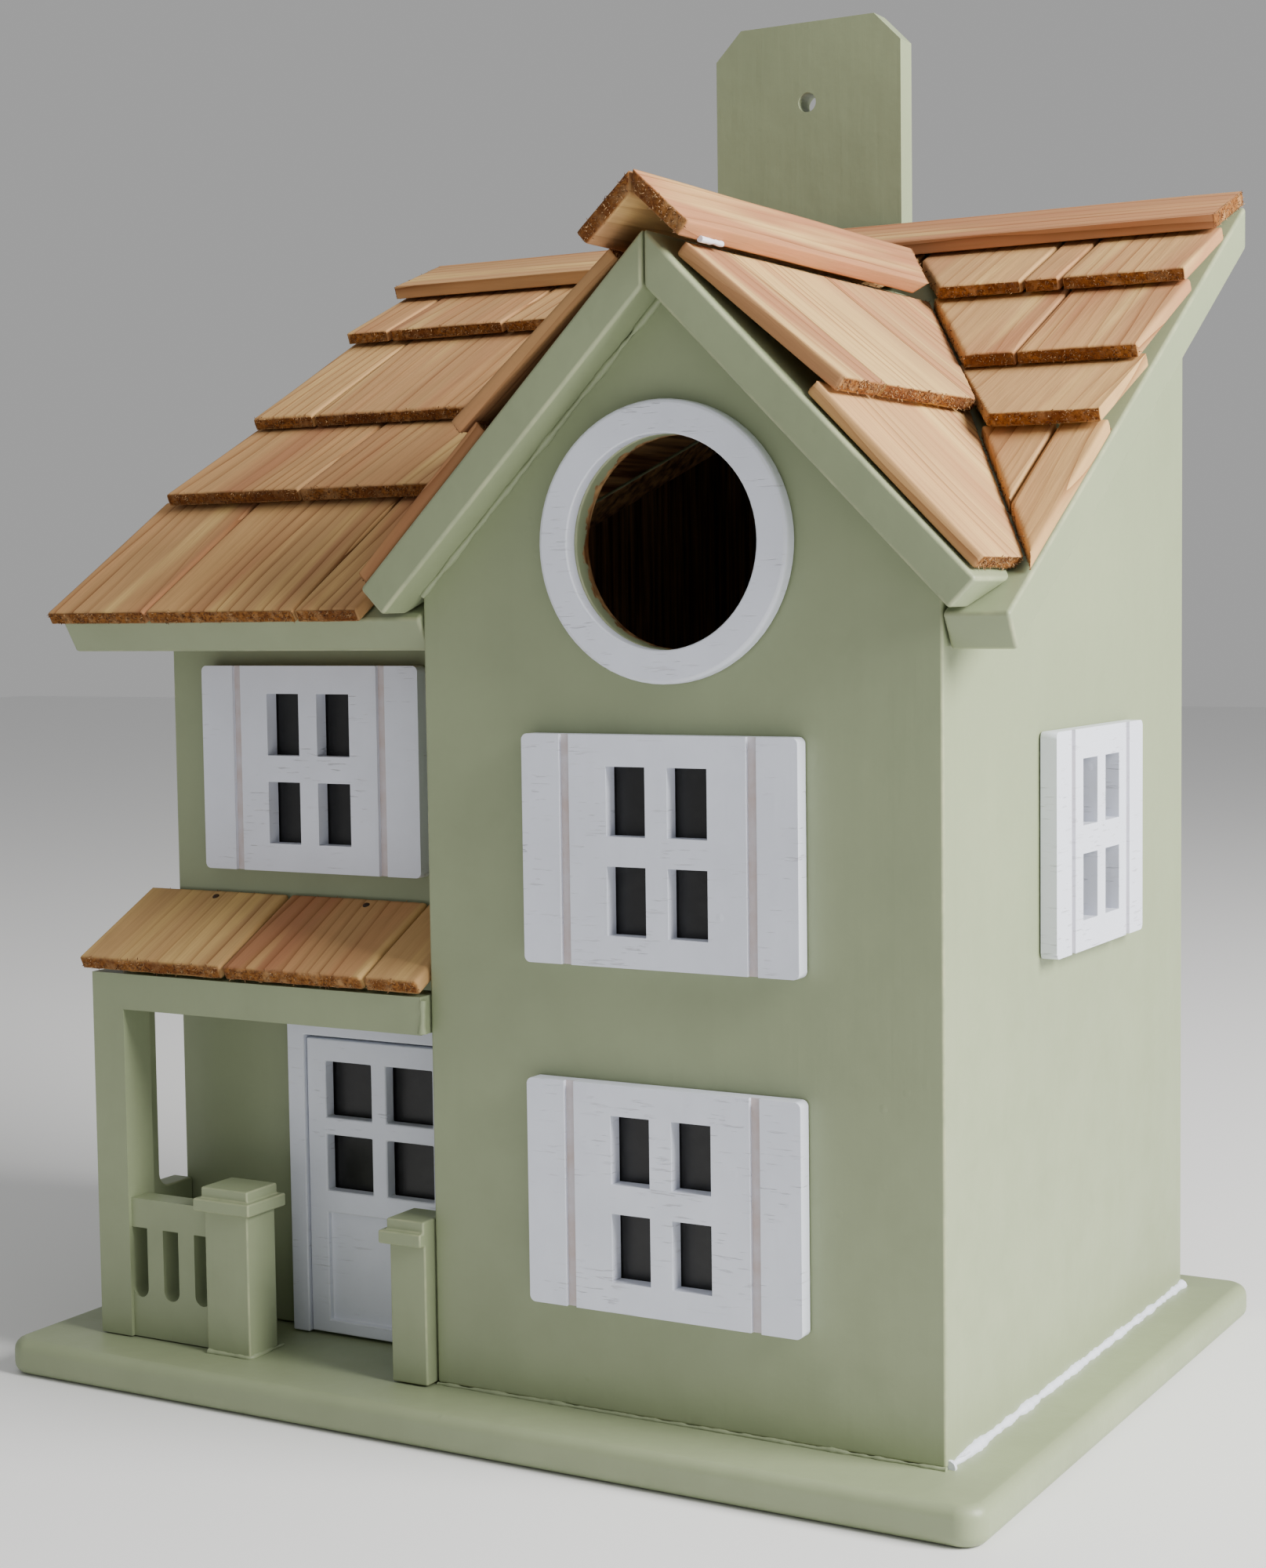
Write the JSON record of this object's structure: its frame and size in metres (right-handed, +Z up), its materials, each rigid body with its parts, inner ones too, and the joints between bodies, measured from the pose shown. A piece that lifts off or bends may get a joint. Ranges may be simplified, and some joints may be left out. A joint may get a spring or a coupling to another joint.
{
  "type": "birdhouse",
  "caption": "Wooden cottage birdhouse with a gabled tower, round entry hole, low wing with a porch, cedar shingle roof, hanging board and rear clean-out door.",
  "frame": {"origin": "centre of the base board's underside", "axes": "+Z up, front of the house towards -Y, hanging board at the back towards +Y, tower on the +X side"},
  "size_m": [0.214, 0.158, 0.2878],
  "materials": {
    "base_paint": "sage green painted wood",
    "wall_paint": "sage green painted wood",
    "roof_paint": "sage green painted wood",
    "porch_paint": "sage green painted wood",
    "hanger_paint": "sage green painted wood",
    "window_paint": "white painted wood",
    "trim_paint": "white painted wood",
    "cedar_tan": "raw cedar, saw-cut ends",
    "cedar_pink": "raw reddish cedar",
    "cedar_light": "raw light cedar",
    "cedar_ridge": "raw reddish cedar, sanded",
    "steel": "zinc plated"
  },
  "bodies": {
    "house": {"back_panel": "wall_paint", "base_board": "base_paint", "door_frame": "trim_paint", "door_leaf": "trim_paint", "entry_ring": "trim_paint", "gable_deck_left": "roof_paint", "gable_deck_right": "roof_paint", "gable_ridge_cap_left": "cedar_ridge", "gable_ridge_cap_right": "cedar_ridge", "gable_shingle_left_lower": "cedar_light", "gable_shingle_left_upper_1": "cedar_pink", "gable_shingle_right_lower": "cedar_light", "gable_shingle_right_upper_1": "cedar_pink", "gable_shingle_right_upper_2": "cedar_light", "gable_shingle_right_upper_3": "cedar_tan", "half_newel_post": "porch_paint", "hanging_board": "hanger_paint", "hanging_board_screw_lower": "steel", "hanging_board_screw_upper": "steel", "left_side_panel": "wall_paint", "main_ridge_board": "cedar_ridge", "main_roof_deck": "roof_paint", "newel_post": "porch_paint", "pivot_nail_left": "steel", "pivot_nail_right": "steel", "porch_front_frame": "porch_paint", "porch_roof_shingle_left": "cedar_light", "porch_roof_shingle_middle": "cedar_pink", "porch_roof_shingle_right": "cedar_tan", "porch_side_frame": "porch_paint", "right_side_panel": "wall_paint", "shingle_left_1_1": "cedar_tan", "shingle_left_1_2": "cedar_pink", "shingle_left_1_3": "cedar_light", "shingle_left_2_1": "cedar_pink", "shingle_left_2_2": "cedar_light", "shingle_left_3_1": "cedar_light", "shingle_left_3_2": "cedar_tan", "shingle_left_4_1": "cedar_tan", "shingle_left_4_2": "cedar_pink", "shingle_left_4_3": "cedar_light", "shingle_right_1_1": "cedar_tan", "shingle_right_1_2": "cedar_pink", "shingle_right_2_1": "cedar_pink", "shingle_right_3_1": "cedar_light", "shingle_right_3_2": "cedar_tan", "shingle_right_4_1": "cedar_tan", "shingle_right_4_2": "cedar_pink", "shingle_right_4_3": "cedar_light", "side_window": "window_paint", "tower_front_panel": "wall_paint", "tower_left_panel": "wall_paint", "tower_window_lower": "window_paint", "tower_window_upper": "window_paint", "turn_button_screw": "steel", "wing_front_panel": "wall_paint", "wing_window": "window_paint"},
    "clean_out_door": {"clean_out_door": "wall_paint"},
    "turn_button": {"turn_button": "wall_paint"}
  },
  "joints": [
    {"name": "clean_out_door_hinge", "type": "hinge", "parent": "house", "child": "clean_out_door", "pos_m": [0.0587, 0.07035, 0.0894], "axis": [1, 0, 0], "range_deg": [0, 100]},
    {"name": "turn_button_pivot", "type": "hinge", "parent": "house", "child": "turn_button", "pos_m": [0.0587, 0.0743, 0.0223], "axis": [0, 1, 0], "range_deg": [0, 90]}
  ]
}
